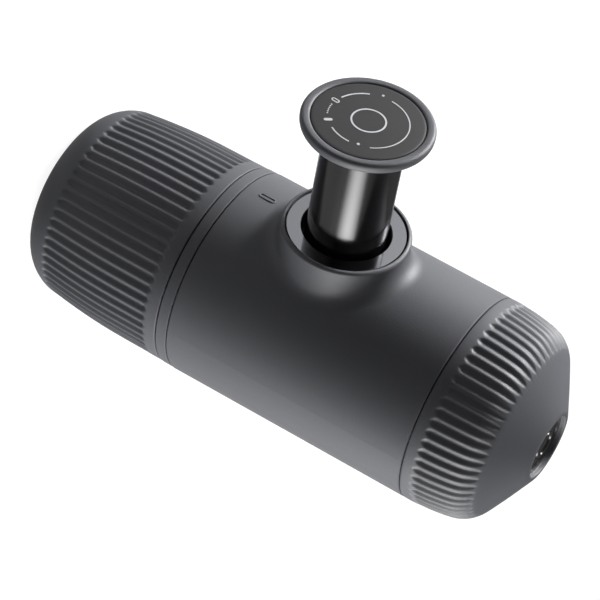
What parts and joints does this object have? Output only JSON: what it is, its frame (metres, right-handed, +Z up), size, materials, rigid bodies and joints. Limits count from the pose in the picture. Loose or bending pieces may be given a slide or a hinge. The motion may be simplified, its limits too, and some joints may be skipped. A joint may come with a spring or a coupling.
{
  "type": "handheld manual espresso maker",
  "caption": "Upright hand-pumped espresso maker: ribbed cup and tapered ribbed water tank on a smooth barrel with a round side boss and a push knob.",
  "frame": {"origin": "centre of the flat base of the cup, where the maker stands", "axes": "+Z up the main axis from the cup to the tapered end of the water tank; the pump's knob points along -Y; X completes the frame"},
  "size_m": [0.0616, 0.1053, 0.1563],
  "materials": {
    "body_plastic": "fine satin texture",
    "gloss_black": "polished",
    "gloss_grey": "polished",
    "inner_plastic": "moulded",
    "rubber": "matt",
    "steel": "brushed",
    "knob_face": "satin"
  },
  "bodies": {
    "cup": {"cup": "body_plastic"},
    "outlet_head": {"outlet_head": "inner_plastic", "outlet_seal": "rubber", "crema_valve": "rubber", "nozzle": "rubber"},
    "portafilter": {"portafilter": "body_plastic"},
    "filter_basket": {"filter_basket": "steel"},
    "group_gasket": {"group_gasket": "rubber"},
    "main_body": {"body_shell": "body_plastic", "pump_frame": "inner_plastic", "deck_screws": "steel", "shower_screen": "steel", "screen_screw": "steel", "outlet_valve": "rubber", "inlet_valve": "rubber", "inlet_filter": "steel", "air_valve": "rubber", "piston_collar": "gloss_grey", "collar_wiper": "rubber", "pump_cylinder": "inner_plastic", "cylinder_cap": "inner_plastic", "return_spring": "steel"},
    "plunger": {"plunger_rod": "inner_plastic", "piston_seal": "rubber"},
    "knob": {"knob": "body_plastic", "knob_plate": "knob_face", "piston_sleeve": "gloss_black"},
    "tank_seal": {"tank_seal": "rubber"},
    "water_tank": {"water_tank": "body_plastic"}
  },
  "joints": [
    {"name": "cup_off", "type": "slide", "parent": "cup", "child": "outlet_head", "axis": [0, 0, 1], "range_m": [0, 0.055]},
    {"name": "outlet_head_off", "type": "slide", "parent": "outlet_head", "child": "portafilter", "axis": [0, 0, 1], "range_m": [0, 0.014]},
    {"name": "basket_out", "type": "slide", "parent": "portafilter", "child": "filter_basket", "axis": [0, 0, 1], "range_m": [0, 0.018]},
    {"name": "body_off", "type": "slide", "parent": "filter_basket", "child": "group_gasket", "axis": [0, 0, 1], "range_m": [0, 0.02]},
    {"name": "portafilter_twist", "type": "hinge", "parent": "group_gasket", "child": "main_body", "pos_m": [0, 0, 0.0572], "axis": [0, 0, 1], "range_deg": [0, 40]},
    {"name": "pump_stroke", "type": "slide", "parent": "main_body", "child": "plunger", "axis": [0, 1, 0], "range_m": [0, 0.0342], "stiffness_N_per_m": 250, "springref_m": -0.03, "deforming": ["return_spring"]},
    {"name": "knob_turn", "type": "hinge", "parent": "plunger", "child": "knob", "pos_m": [0, -0.06, 0.0857], "axis": [0, 1, 0], "range_deg": [0, 45]},
    {"name": "tank_twist", "type": "hinge", "parent": "main_body", "child": "tank_seal", "pos_m": [0, 0, 0.1116], "axis": [0, 0, 1], "range_deg": [0, 120]},
    {"name": "tank_off", "type": "slide", "parent": "tank_seal", "child": "water_tank", "axis": [0, 0, 1], "range_m": [0, 0.04]}
  ]
}
